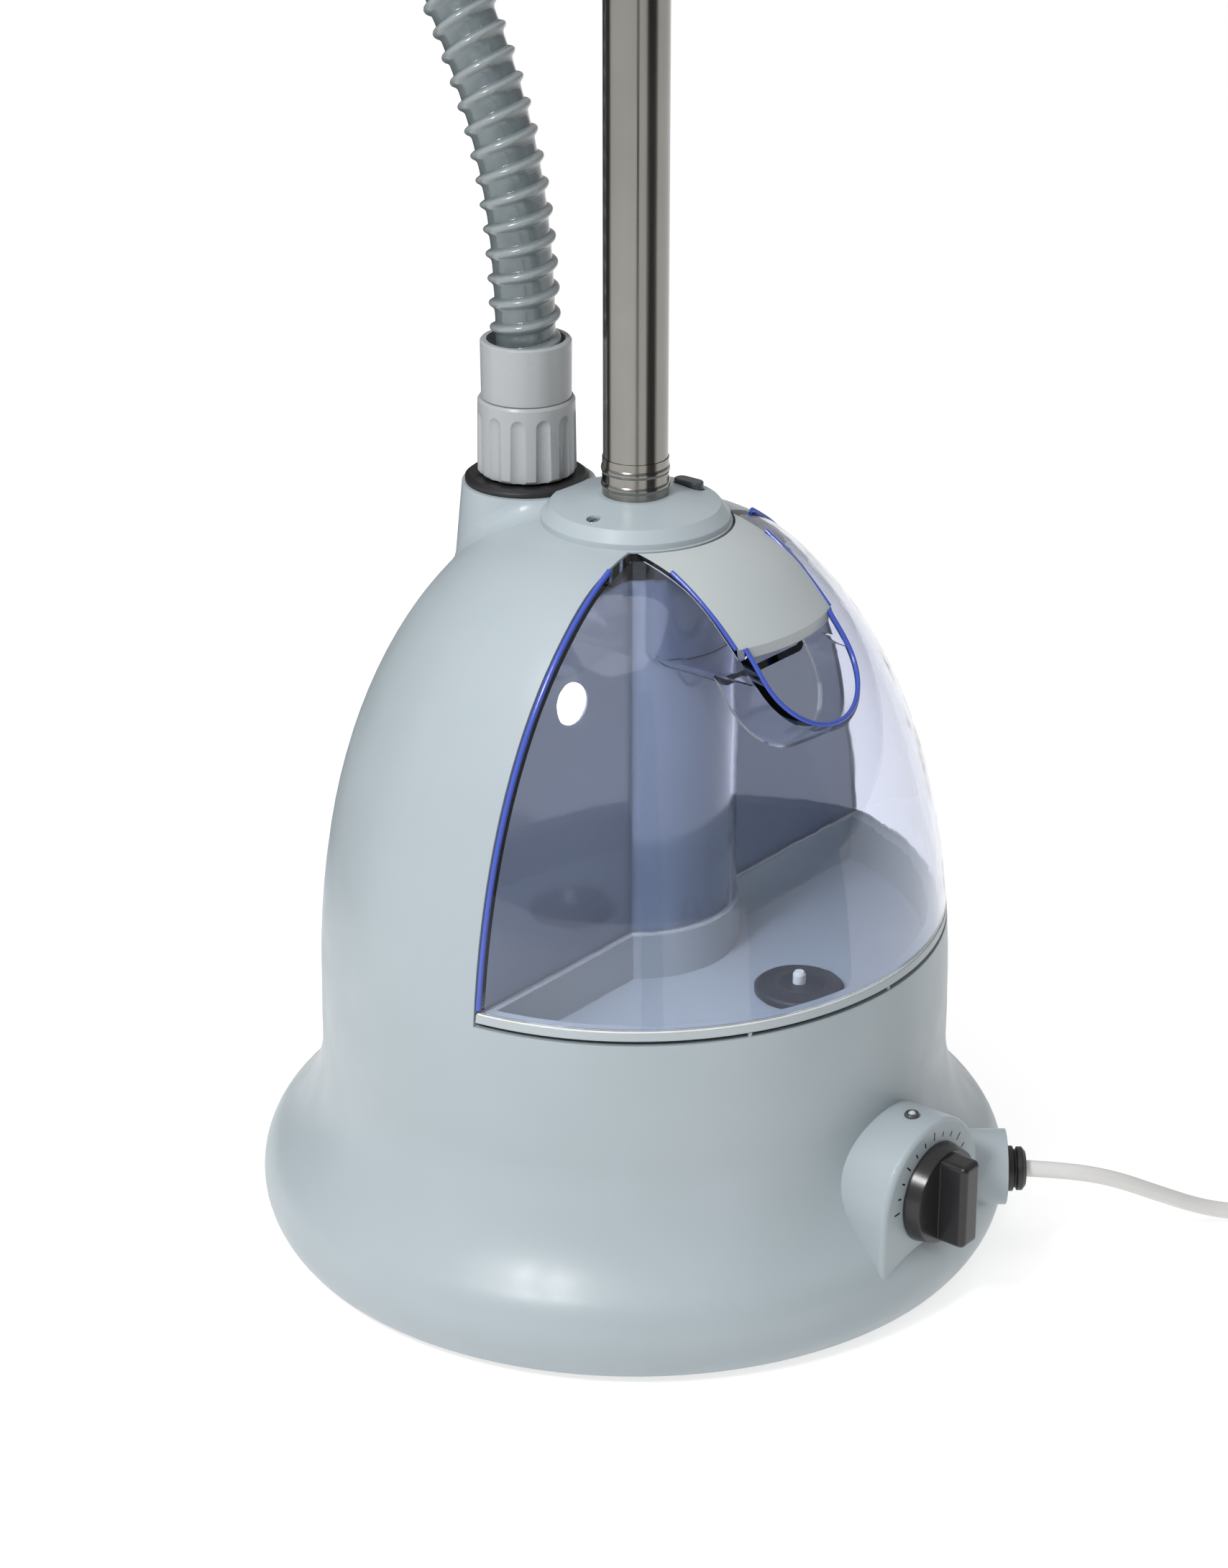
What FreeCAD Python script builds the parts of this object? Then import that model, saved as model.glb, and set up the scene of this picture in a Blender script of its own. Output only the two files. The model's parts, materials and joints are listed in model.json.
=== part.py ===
"""Upright garment steamer: bell-shaped base, lift-off water tank, telescopic pole, hose and steam head.

Millimetres. The origin is on the floor under the axis of the bell and the pole, +Z is up, and the
water tank and its control knob face -Y. Every piece is written to parts/NODE.step.
"""

import FreeCAD, Part
import math
import os

V = FreeCAD.Vector
UP = V(0, 0, 1)
FAR = 600.0  # half-size of the boxes that cut a body at a plane
HAIR = 0.3  # gap between pieces that move past each other

# Bell: skirt bulge, concave fillet, straight wall, dome
WALL_R = 142.0
BULGE_R = 27.8
BULGE_CENTRE = (143.2, 21.5)
FILLET_R = 67.0
SKIRT_FOOT = 4.0
DOME_FOOT = 100.0
DOME_HEIGHT = 245.0
DOME_POWER = 2.38
DOME_LEVELS = (130, 160, 190, 220, 247, 270, 290, 308, 321)
CROWN = ((53, 328), (41, 332), (22, 335), (0, 336))
SHELL = 2.8

# Pole boss on the crown, chimney for the hose, rear of the tank bay
BOSS_R = 41.0
BOSS_FLAT_R = 36.0
BOSS_LOW = 331.5
BOSS_RIM = 339.0
BOSS_TOP = 344.0
CHIMNEY_Y = 60.0
CHIMNEY_R = 29.5
CHIMNEY_FOOT_R = 33.0
CHIMNEY_TOP = 337.0
BAY_Y = -24.0
COLUMN_R = 42.0
COLUMN_WALL = 2.6
DECK_TOP = 113.0
DECK_T = 3.0
SLOT_LOW = 149.3

# Tank
TANK_GAP = 1.0
TANK_WALL = 2.6
TRAY_RIM_LOW = 151.5
TRAY_RIM_TOP = 155.0
SHELL_FOOT = 156.0
TRAY_FLOOR = 134.0
TRAY_T = 2.5
TRAY_INSET = 8.0
VALVE_Y = -92.0
POCKET_HALF = 30.0
POCKET_BACK_R = 46.0
POCKET_FLOOR = 283.0
SCOOP_STRAIGHT = 13.0
SCOOP_TILT = 32.0
SCOOP_DEPTH = 24.0
SCOOP_STEP = 0.6  # the scoop is this much narrower than the recess on each side
HANDLE_HALF = 33.0
HANDLE_FRONT = -86.0
HANDLE_EDGE_Z = 301.0
HANDLE_T = 3.2

# Control pod and cord boss
POD_FACE_Y = -166.0
POD_HALF = 36.0
POD_AXIS_Z = 57.0
POD_FOOT = 12.0
KNOB_AXIS_Z = 60.0
KNOB_R = 22.8
KNOB_DISC = 7.0
KNOB_GAP = 0.6
KNOB_GRIP = 13.0
LEAD_HEADING = -51.0  # degrees, from +X: where the mains lead leaves the base
GLAND_BACK = -55.0
GLAND_Z = 43.0
GLAND_FACE = 166.0
GLAND_R = 10.2
CORD_BOSS_R = 17.0
LAMP_Y = -154.0
LAMP_LENS_R = 1.95
LEAD_R = 3.75

# Pole, clamp and hub
POLE_R = 14.0
UPPER_R = 12.0
TUBE_WALL = 1.2
POLE_FOOT = 40.0
POLE_TOP = 900.0
UPPER_FOOT = 770.0
UPPER_TOP = 1450.0
CLAMP_TOP = 926.0
CLAMP_R = 20.0
LEVER_PIVOT = (-26.0, 912.0)
HUB_LOW = 1432.0
HUB_TOP = 1492.0
FORK_LOW = 1450.0
FORK_T = 8.0
ARM_PIVOT = (26.0, 1476.0)
ARM_REACH = 205.0

# Hose and steam head
HOSE_R = 15.5
SPIGOT_Y = 61.0
HOSE_FOOT = 394.0
HEAD_Y = 60.0
NECK_R = 13.0
HEAD_LOW = FORK_LOW + FORK_T + HAIR
HEAD_TALL = 108.0
CUFF_LOW = 1312.0
HOSE_TOP = 1364.0

# Mains lead: the coil and the plug lie on the floor
COIL_OUT = 343.0
COIL_BACK = 5.0
COIL_TURN_RADII = (34.0, 41.5, 49.0)
COIL_TALL = 15.0
PLUG_Z = 28.0
PLUG_BACK = -36.6
PLUG_OUT = 3.8


# ---- drawing helpers -------------------------------------------------------------------------

def box(x0, x1, y0, y1, z0, z1):
    return Part.makeBox(x1 - x0, y1 - y0, z1 - z0, V(x0, y0, z0))


def rod(radius, z0, z1, x=0.0, y=0.0):
    return Part.makeCylinder(radius, z1 - z0, V(x, y, z0))


def ring(outer, inner, z0, z1, x=0.0, y=0.0):
    return rod(outer, z0, z1, x, y).cut(rod(inner, z0 - 1, z1 + 1, x, y))


def bar(radius, start, end):
    """A round bar between two points."""
    run = V(*end) - V(*start)
    return Part.makeCylinder(radius, run.Length, V(*start), run)


def turned(outline, x=0.0, y=0.0):
    """A solid of revolution about the vertical through (x, y), from (radius, z) corners."""
    corners = [V(r, 0, z) for r, z in outline]
    face = Part.Face(Part.makePolygon(corners + corners[:1]))
    solid = face.revolve(V(0, 0, 0), UP, 360)
    solid.translate(V(x, y, 0))
    return solid


def joined(*shapes):
    whole = shapes[0].fuse(list(shapes[1:]))
    return whole.removeSplitter()


def rounded(solid, radius, wanted):
    """The solid with a fillet on the edges that the test picks."""
    return solid.makeFillet(radius, [e for e in solid.Edges if wanted(e)])


def all_round(count):
    return [360.0 * k / count for k in range(count)]


def at_angle(radius, degrees, z=0.0):
    a = math.radians(degrees)
    return V(radius * math.cos(a), radius * math.sin(a), z)


def slab(points, y0, y1):
    """A prism along Y from (x, z) corners."""
    corners = [V(x, y0, z) for x, z in points]
    return Part.Face(Part.makePolygon(corners + corners[:1])).extrude(V(0, y1 - y0, 0))


def arch(half, foot, centre_z, y0, y1):
    """A prism along Y: straight sides under a half round."""
    left, right = V(-half, y0, centre_z), V(half, y0, centre_z)
    low_left, low_right = V(-half, y0, foot), V(half, y0, foot)
    edges = [
        Part.makeLine(low_left, left),
        Part.Arc(left, V(0, y0, centre_z + half), right).toShape(),
        Part.makeLine(right, low_right),
        Part.makeLine(low_right, low_left),
    ]
    return Part.Face(Part.Wire(edges)).extrude(V(0, y1 - y0, 0))


def out_back(out, back, z):
    """A point from its distance along the lead's heading, its distance to the left of that, and height."""
    a = math.radians(LEAD_HEADING)
    return V(out * math.cos(a) - back * math.sin(a), out * math.sin(a) + back * math.cos(a), z)


def towards_lead(shape):
    """Turns a shape that was drawn facing -Y so that it faces along the lead's heading."""
    turned_shape = shape.copy()
    turned_shape.rotate(V(0, 0, 0), UP, 90 + LEAD_HEADING)
    return turned_shape


def route_tube(name, points, radius):
    """A plain tube along straight runs joined by the largest tangent arcs that the runs allow."""
    edges = []
    here = points[0]
    for before, corner, after in zip(points, points[1:], points[2:]):
        back = (before - corner).normalize()
        on = (after - corner).normalize()
        half_turn = (math.pi - back.getAngle(on)) / 2
        reach = 0.45 * min((before - corner).Length, (after - corner).Length)
        bend = reach / math.tan(half_turn)
        start, end = corner + back * reach, corner + on * reach
        middle = corner + (back + on).normalize() * (bend / math.cos(half_turn) - bend)
        edges += [Part.LineSegment(here, start).toShape(), Part.Arc(start, middle, end).toShape()]
        here = end
        print(f"{name}: turn {math.degrees(2 * half_turn):.1f} deg, radius {bend:.0f} mm")
    edges.append(Part.LineSegment(here, points[-1]).toShape())
    spine = Part.Wire(edges)
    section = Part.Wire([Part.Circle(points[0], points[1] - points[0], radius).toShape()])
    tube = spine.makePipeShell([section], True, True)
    ideal = math.pi * radius ** 2 * spine.Length
    print(f"{name}: length {spine.Length:.0f} mm, volume {tube.Volume / ideal:.4f} of ideal")
    return tube


# ---- the bell's outline ----------------------------------------------------------------------

def bell_radius(z):
    rise = max(0.0, z - DOME_FOOT) / DOME_HEIGHT
    return WALL_R * math.sqrt(1 - rise ** DOME_POWER)


def dome_point(z, inset):
    step = 0.5
    slope = (bell_radius(z + step) - bell_radius(z - step)) / (2 * step)
    length = math.hypot(1, slope)
    return V(bell_radius(z) - inset / length, 0, z + inset * slope / length)


def bell_outline(inset, foot):
    """Edges of the half section from the foot to the axis, moved inwards by inset."""
    cx, cz = BULGE_CENTRE
    bulge = BULGE_R - inset
    fillet = FILLET_R + inset
    reach = BULGE_R + FILLET_R
    fillet_cx = WALL_R + FILLET_R
    lean = math.acos((fillet_cx - cx) / reach)
    fillet_cz = cz + reach * math.sin(lean)
    low_angle = -math.asin(min(0.99, (cz - foot) / bulge))
    mid_angle = (low_angle + lean) / 2

    def on_bulge(angle):
        return V(cx + bulge * math.cos(angle), 0, cz + bulge * math.sin(angle))

    meet = on_bulge(lean)
    half = lean / 2
    fillet_mid = V(fillet_cx - fillet * math.cos(half), 0, fillet_cz - fillet * math.sin(half))
    wall_low = V(WALL_R - inset, 0, fillet_cz)
    wall_high = V(WALL_R - inset, 0, DOME_FOOT)
    crown = [V(max(0.0, r - 0.35 * inset), 0, z - inset) for r, z in CROWN]
    dome = Part.BSplineCurve()
    dome.interpolate(
        Points=[wall_high] + [dome_point(z, inset) for z in DOME_LEVELS] + crown,
        InitialTangent=V(0, 0, 1),
        FinalTangent=V(-1, 0, 0),
    )
    return [
        Part.Arc(on_bulge(low_angle), on_bulge(mid_angle), meet).toShape(),
        Part.Arc(meet, fillet_mid, wall_low).toShape(),
        Part.makeLine(wall_low, wall_high),
        dome.toShape(),
    ]


def bell(inset=0.0, foot=SKIRT_FOOT):
    edges = bell_outline(inset, foot)
    start = edges[0].Vertexes[0].Point
    top = edges[-1].Vertexes[-1].Point
    axis_low = V(0, 0, start.z)
    closing = [Part.makeLine(top, axis_low), Part.makeLine(axis_low, start)]
    return Part.Face(Part.Wire(edges + closing)).revolve(V(0, 0, 0), UP, 360)


# ---- base ------------------------------------------------------------------------------------

def base_plate():
    plate = rod(161.5, 4.0, 7.0)
    rim = ring(161.5, 159.0, 7.0, 12.0)
    holes = [rod(2.3, 0, 10, *at_angle(150, a)[:2]) for a in all_round(6)]
    vents = [box(-26, 26, y - 2, y + 2, 0, 10) for y in range(-70, -29, 10)]
    return joined(plate, rim).cut(holes + vents)


def rubber_feet():
    pads = [rod(12, 0, 4.0, *at_angle(140, a + 45)[:2]) for a in all_round(4)]
    return Part.makeCompound(pads)


def screw(length, head_r, shank_r, head_z, x, y, down=True):
    """A pan-head screw on a vertical axis; its shank runs down or up from under the head."""
    sign = -1 if down else 1
    head_t = 2.2
    low, high = sorted((head_z, head_z - sign * head_t))
    head = rod(head_r, low, high, x, y)
    low, high = sorted((head_z, head_z + sign * length))
    slot = box(x - head_r, x + head_r, y - 0.5, y + 0.5, 0, 1.2)
    slot.translate(V(0, 0, head_z - sign * head_t - (1.2 if down else 0)))
    return joined(head, rod(shank_r, low, high, x, y)).cut(slot)


def base_screws():
    places = [at_angle(150, a) for a in all_round(6)]
    return Part.makeCompound([screw(12, 4.0, 1.9, 4.0, p.x, p.y, down=False) for p in places])


def pod_solid(inset, y0, y1, foot):
    return arch(POD_HALF - inset, foot, POD_AXIS_Z, y0, y1)


def gland_boss(inset, out0, out1):
    """The round boss beside the pod that the mains lead comes out of."""
    inner_end = (GLAND_BACK, -out0, GLAND_Z + 1)
    return towards_lead(bar(CORD_BOSS_R - inset, inner_end, (GLAND_BACK, -out1, GLAND_Z + 1)))


def boss_outside():
    profile = [(0, 316), (BOSS_R, 316), (BOSS_R, BOSS_LOW + 3), (BOSS_FLAT_R + 1, BOSS_RIM + 0.5),
               (17, BOSS_TOP), (0, BOSS_TOP)]
    return turned(profile)


def chimney_outside():
    profile = [(0, 250), (CHIMNEY_FOOT_R + 6, 250), (CHIMNEY_FOOT_R, 300), (CHIMNEY_R, CHIMNEY_TOP),
               (0, CHIMNEY_TOP)]
    return turned(profile, 0, CHIMNEY_Y)


def housing_outside():
    """The bell with the boss, the chimney, the control pod and the cord boss, as one body."""
    body = bell().fuse([chimney_outside()])
    seam = [e for e in body.Edges if e.BoundBox.ZMin > 262 and e.BoundBox.ZMax < 336.5
            and e.BoundBox.YMax > 85 and e.BoundBox.XLength > 40]
    body = body.makeFillet(9.0, seam)
    body = body.fuse([boss_outside()])
    pod = pod_solid(0, POD_FACE_Y, -120, POD_FOOT)
    pod = rounded(pod, 2.5, lambda e: abs(e.CenterOfMass.y - POD_FACE_Y) < 0.01 and e.CenterOfMass.z > 60)
    cord_boss = gland_boss(0, 120, GLAND_FACE)
    return joined(body, pod, cord_boss)


def housing_hollow():
    boss = turned([(0, 310), (BOSS_R - SHELL, 310), (BOSS_R - SHELL, BOSS_LOW), (17, BOSS_TOP - SHELL),
                   (0, BOSS_TOP - SHELL)])
    chimney = turned([(0, 250), (CHIMNEY_FOOT_R - SHELL, 250), (CHIMNEY_R - SHELL, CHIMNEY_TOP - 8.5),
                      (0, CHIMNEY_TOP - 8.5)], 0, CHIMNEY_Y)
    pod = pod_solid(SHELL, POD_FACE_Y + SHELL, -118, POD_FOOT + 4)
    cord_boss = gland_boss(SHELL, 118, GLAND_FACE - SHELL)
    return bell(SHELL, foot=2.0).fuse([boss, chimney, pod, cord_boss, rod(158, 0, 6)])


def bay_space(gap=0.0):
    """Everything in front of the tank bay's rear wall and outside its column."""
    front = box(-FAR, FAR, -FAR, BAY_Y - gap, 0, FAR)
    return front.cut(rod(COLUMN_R + gap, -1, FAR + 1))


def button_shape(x, y, half_long, half_wide, z0, z1):
    """An oval prism: a rectangle with round ends, long way along Y."""
    core = box(x - half_wide, x + half_wide, y - half_long + half_wide, y + half_long - half_wide, z0, z1)
    ends = [rod(half_wide, z0, z1, x, y + side * (half_long - half_wide)) for side in (-1, 1)]
    return joined(core, *ends)


def housing_shell():
    shell = housing_outside().cut(housing_hollow())
    bay = bay_space().common(box(-FAR, FAR, -FAR, 0, SLOT_LOW, FAR))
    ribs = [rod(1.0, SLOT_LOW - 3, TRAY_RIM_LOW - HAIR, *at_angle(bell_radius(SLOT_LOW) - 1.5, a)[:2])
            for a in (-121, -90, -59)]
    openings = [
        rod(POLE_R + 0.1, 300, 360),
        rod(15.0, 300, 345, 0, SPIGOT_Y),
        bar(5.0, (0, -170, KNOB_AXIS_Z), (0, -150, KNOB_AXIS_Z)),
        rod(26.5, CHIMNEY_TOP - 5.5, CHIMNEY_TOP + 1, 0, SPIGOT_Y),
        rod(27.4 + HAIR, CHIMNEY_TOP, BOSS_TOP + 1, 0, SPIGOT_Y),
        rod(LAMP_LENS_R + 0.3, 80, 100, 0, LAMP_Y),
        towards_lead(bar(7.6, (GLAND_BACK, -175, GLAND_Z), (GLAND_BACK, -150, GLAND_Z))),
        button_shape(27.0, -8.0, 7.7, 3.9, 325, 350),
        rod(3.0, 338.0, 350, -31, -2),
        rod(1.6, 320, 350, -31, -2),
    ]
    return shell.cut([bay]).cut(openings).fuse(ribs).removeSplitter()


def tank_bay_liner():
    """Rear wall and column of the tank bay, and the deck under the tank, in one moulding."""
    inside = bell(SHELL + HAIR)
    wall = box(-FAR, FAR, BAY_Y, BAY_Y + COLUMN_WALL, DECK_TOP - DECK_T, 318)
    tube = rod(COLUMN_R - HAIR, DECK_TOP - DECK_T, 318)
    tube = tube.common(box(-FAR, FAR, -FAR, BAY_Y + COLUMN_WALL, 0, FAR))
    deck = box(-FAR, FAR, -FAR, BAY_Y + COLUMN_WALL, DECK_TOP - DECK_T, DECK_TOP)
    solid = joined(wall, tube, deck).common(inside)
    hollow = rod(COLUMN_R - COLUMN_WALL, 0, FAR)
    return solid.cut([hollow, rod(9.0, 0, 200, 0, VALVE_Y)])


def pole_socket():
    """Tube that the pole stands in, with a foot flange and a top flange."""
    body = joined(rod(17.0, 7.0, 330), rod(30.0, 7.0, 11.0), rod(34.0, 312, 315),
                  rod(4.0, 315, 332.5, -31, -2))
    cuts = [rod(POLE_R + 0.05, POLE_FOOT, 340), rod(11.0, 0, POLE_FOOT + 1),
            rod(1.6, 300, 340, -31, -2)]
    holes = [rod(2.2, 0, 20, *at_angle(24, a + 45)[:2]) for a in all_round(4)]
    return body.cut(cuts + holes)


def cap_screw():
    return screw(14, 2.8, 1.55, 338.0, -31, -2)


def pole_lower():
    return ring(POLE_R, POLE_R - TUBE_WALL, POLE_FOOT, POLE_TOP)


def pole_collar():
    """Bright ferrule at the pole's foot: two rolled beads with a waist between them."""
    inner = POLE_R + 0.02
    beads = [Part.makeTorus(POLE_R - 2.0, 2.9, V(0, 0, z)) for z in (348.5, 355.5)]
    sleeve = rod(POLE_R + 0.4, BOSS_TOP, 360.5)
    return joined(sleeve, *beads).cut(rod(inner, 300, 400))


def release_button():
    cap = button_shape(27.0, -8.0, 7.2, 3.4, 333.0, 344.4)
    flange = button_shape(27.0, -8.0, 8.6, 4.9, 330.0, 333.0)
    stem = rod(1.5, 320.0, 331.0, 27.0, -8.0)
    cap = rounded(cap, 0.9, lambda e: e.BoundBox.ZMin > 344.3)
    return joined(cap, flange, stem)


def spring(x, y, radius, wire, z0, z1, turns):
    """A coil spring between two levels."""
    pitch = (z1 - z0 - 2 * wire) / turns
    helix = Part.makeHelix(pitch, z1 - z0 - 2 * wire, radius)
    section = Part.Wire([Part.Circle(V(radius, 0, 0), V(0, 1, 0), wire).toShape()])
    coil = Part.Wire(helix.Edges).makePipeShell([section], True, True)
    coil.translate(V(x, y, z0 + wire))
    return coil


def release_spring():
    return spring(27.0, -8.0, 2.9, 0.4, 315.2, 329.9, 5)


# ---- steam outlet, hose coupling and hose ----------------------------------------------------

def steam_gasket():
    profile = [(16.0, 331.5), (26.4, 331.5), (26.4, CHIMNEY_TOP + 0.05), (27.4, CHIMNEY_TOP + 0.05),
               (27.4, 339.0), (25.6, 340.4), (16.0, 339.6)]
    return turned(profile, 0, SPIGOT_Y)


def steam_spigot():
    """Outlet pipe with a foot flange under the chimney's roof."""
    flange = ring(25.0, 9.0, 324.0, 328.4, 0, SPIGOT_Y)
    pipe = ring(12.0, 9.0, 296.0, 386.0, 0, SPIGOT_Y)
    return joined(flange, pipe)


def coupling_nut():
    """Bayonet nut with twelve finger flutes that fade out below its collar."""
    body = turned([(15.6, 341.2), (20.8, 341.2), (21.8, 342.4), (21.4, 374.0), (20.6, 375.2), (15.6, 375.2)],
                  0, SPIGOT_Y)
    cuts = []
    for a in all_round(12):
        p = at_angle(25.6, a)
        groove = joined(rod(5.4, 330, 366.5, p.x, p.y), Part.makeSphere(5.4, V(p.x, p.y, 366.5)))
        groove.translate(V(0, SPIGOT_Y, 0))
        cuts.append(groove)
    return body.cut(cuts)


def hose_collar():
    """Hose end fitting: a smooth collar over the nut and a sleeve down inside it."""
    profile = [(12.1, 343.0), (15.2, 343.0), (15.2, 375.5), (19.8, 375.5), (20.0, 400.4), (19.3, 401.2),
               (17.2, 401.2), (17.2, HOSE_FOOT), (12.1, HOSE_FOOT)]
    return turned(profile, 0, SPIGOT_Y)


HOSE_ROUTE = ((61, HOSE_FOOT), (61, 434), (71, 488), (96, 544), (133, 602), (175, 664), (211, 732),
              (233, 806), (239, 884), (226, 960), (198, 1032), (160, 1098), (120, 1158), (88, 1210),
              (68, 1258), (60, 1304), (60, HOSE_TOP))


def steam_hose():
    return route_tube("steam_hose", [V(0, y, z) for y, z in HOSE_ROUTE], HOSE_R)


# ---- boiler and plumbing inside the base -----------------------------------------------------

def boiler_body():
    outer = box(-48, 48, 38, 102, 22, 60)
    outer = rounded(outer, 10, lambda e: e.BoundBox.ZLength > 30)
    inner = rounded(box(-42, 42, 44, 96, 30, 61), 6, lambda e: e.BoundBox.ZLength > 30)
    legs = [rod(5, 7.0, 23, x, y) for x in (-38, 38) for y in (46, 94)]
    inlet = bar(5.0, (47, 60, 44), (58, 60, 44))
    ears = [rod(5.5, 48, 60, x, y) for x in (-47, 47) for y in (39, 101)]
    body = joined(outer, *legs, *ears).cut(inner)
    body = joined(body, inlet).cut([bar(3.0, (40, 60, 44), (60, 60, 44))])
    ports = [bar(4.1, (-60, y, 38), (-40, y, 38)) for y in (58, 82)]
    taps = [rod(1.6, 50, 61, x, y) for x in (-47, 47) for y in (39, 101)]
    return body.cut(ports + taps)


def boiler_lid():
    plate = rounded(box(-48, 48, 38, 102, 60, 65), 10, lambda e: e.BoundBox.ZLength > 4)
    ears = [rod(5.5, 60, 65, x, y) for x in (-47, 47) for y in (39, 101)]
    nipple = rod(8.0, 64, 84, 0, SPIGOT_Y)
    holes = [rod(1.9, 50, 70, x, y) for x in (-47, 47) for y in (39, 101)]
    return joined(plate, nipple, *ears).cut(holes + [rod(5.5, 50, 90, 0, SPIGOT_Y)])


def boiler_screws():
    return Part.makeCompound([screw(13, 3.2, 1.5, 65.0, x, y) for x in (-47, 47) for y in (39, 101)])


def heating_element():
    """Hairpin tube in the boiler, its two ends through the side wall."""
    r = 4.0
    left = -62
    path = [
        Part.makeLine(V(left, 58, 38), V(22, 58, 38)),
        Part.Arc(V(22, 58, 38), V(34, 70, 38), V(22, 82, 38)).toShape(),
        Part.makeLine(V(22, 82, 38), V(left, 82, 38)),
    ]
    section = Part.Wire([Part.Circle(V(left, 58, 38), V(1, 0, 0), r).toShape()])
    tube = Part.Wire(path).makePipeShell([section], True, True)
    tabs = [box(left - 10, left, y - 3, y + 3, 37.5, 38.5) for y in (58, 82)]
    return joined(tube, *tabs)


def thermostat():
    body = joined(rod(11.5, 65.0, 72, -28, 84), rod(9.0, 72, 76, -28, 84))
    tabs = [box(-28 + s * 5 - 0.4, -28 + s * 5 + 0.4, 81, 87, 75, 84) for s in (-1, 1)]
    return joined(body, *tabs)


def steam_pipe():
    """Silicone tube from the boiler's nipple to the outlet spigot."""
    lower = ring(11.0, 8.05, 68, 82, 0, SPIGOT_Y)
    middle = ring(12.5, 8.6, 82, 294, 0, SPIGOT_Y)
    upper = ring(15.0, 12.05, 294, 312, 0, SPIGOT_Y)
    return joined(lower, middle, upper)


def water_pipe():
    points = [V(0, VALVE_Y, 96), V(1, VALVE_Y + 1, 73), V(18, -80, 54), V(46, -54, 45),
              V(72, -22, 42), V(88, 10, 43), V(92, 40, 44), V(80, 60, 44), V(58.1, 60, 44)]
    return route_tube("water_pipe", points, 4.5)


def valve_seat():
    """Cup on the deck that the tank's valve plugs into, with the fixed pin that opens it."""
    cup = ring(20.0, 17.0, DECK_TOP, 127, 0, VALVE_Y)
    floor = ring(20.0, 5.0, DECK_TOP, DECK_TOP + 1.6, 0, VALVE_Y)
    spout = ring(8.4, 5.0, 96, DECK_TOP + 1, 0, VALVE_Y)
    bridge = box(-6, 6, VALVE_Y - 1, VALVE_Y + 1, DECK_TOP, DECK_TOP + 1.6)
    pin = rod(1.8, DECK_TOP, 116.4, 0, VALVE_Y)
    return joined(cup, floor, spout, bridge, pin)


def seat_seal():
    return Part.makeTorus(15.75, 1.2, V(0, VALVE_Y, 122))


# ---- switch, lamp and mains entry ------------------------------------------------------------

def rotary_switch():
    body = box(-18, 18, -160, -138, KNOB_AXIS_Z - 18, KNOB_AXIS_Z + 18)
    body = rounded(body, 3, lambda e: e.BoundBox.YLength > 20)
    neck = bar(4.6, (0, -163, KNOB_AXIS_Z), (0, -159, KNOB_AXIS_Z))
    tabs = [box(x - 0.4, x + 0.4, -138, -128, KNOB_AXIS_Z - 4, KNOB_AXIS_Z + 4) for x in (-10, 0, 10)]
    bore = bar(3.08, (0, -170, KNOB_AXIS_Z), (0, -144, KNOB_AXIS_Z))
    return joined(body, neck, *tabs).cut(bore)


def pilot_bezel():
    bore = LAMP_LENS_R + 0.05
    sleeve = LAMP_LENS_R + 0.25
    profile = [(bore, 88.0), (sleeve, 88.0), (sleeve, 93.0), (3.4, 93.0), (3.4, 93.6), (2.9, 94.4),
               (bore, 94.4)]
    return turned(profile, 0, LAMP_Y)


def pilot_lens():
    stem = rod(LAMP_LENS_R, 84.0, 93.4, 0, LAMP_Y)
    dome = Part.makeSphere(LAMP_LENS_R, V(0, LAMP_Y, 93.2)).common(box(-5, 5, -160, -148, 93.2, 96))
    return joined(stem, dome)


def along_lead(outline):
    """A solid of revolution on the gland's axis, from (radius, distance out) corners."""
    corners = [V(r, -out, 0) for r, out in outline]
    face = Part.Face(Part.makePolygon(corners + corners[:1]))
    solid = face.revolve(V(0, 0, 0), V(0, -1, 0), 360)
    solid.translate(V(GLAND_BACK, 0, GLAND_Z))
    return towards_lead(solid)


def cord_grommet():
    """Strain relief: a ribbed black gland outside the wall and a tapered tail inside it."""
    bore = LEAD_R + 0.05
    profile = [(bore, 148), (6.0, 148), (7.5, 163), (7.5, GLAND_FACE + 0.05), (GLAND_R, GLAND_FACE + 0.05),
               (GLAND_R, 169.2), (GLAND_R - 1.6, 169.9), (GLAND_R - 1.6, 170.6), (GLAND_R - 0.4, 171.2),
               (GLAND_R - 0.4, 173.4), (GLAND_R - 2.4, 175.0), (bore, 175.0)]
    return along_lead(profile)


def inner_lead():
    """The lead's end inside the base, from the gland to the terminal block."""
    return along_lead([(0, 131.1), (LEAD_R, 131.1), (LEAD_R, 175.0), (0, 175.0)])


def cord_clamp():
    """Two-screw saddle that grips the lead behind its strain relief."""
    low, high = GLAND_Z - 7, GLAND_Z + 8
    block = box(GLAND_BACK - 10, GLAND_BACK + 10, -141, -134, low, high)
    post = box(GLAND_BACK - 4, GLAND_BACK + 4, -141, -134, 7.0, low)
    groove = bar(LEAD_R + 0.03, (GLAND_BACK, -150, GLAND_Z), (GLAND_BACK, -130, GLAND_Z))
    screws = [rod(2.2, high, high + 1.5, GLAND_BACK + s * 6.5, -137.5) for s in (-1, 1)]
    return towards_lead(joined(block, post, *screws).cut(groove))


def terminal_block():
    body = box(GLAND_BACK - 16, GLAND_BACK + 16, -131, -113, GLAND_Z - 8, GLAND_Z + 8)
    post = box(GLAND_BACK - 5, GLAND_BACK + 5, -125, -119, 7.0, GLAND_Z - 8)
    holes = [rod(2.4, GLAND_Z + 2, GLAND_Z + 9, GLAND_BACK + x, -122) for x in (-10, 0, 10)]
    return towards_lead(joined(body, post).cut(holes))


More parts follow.
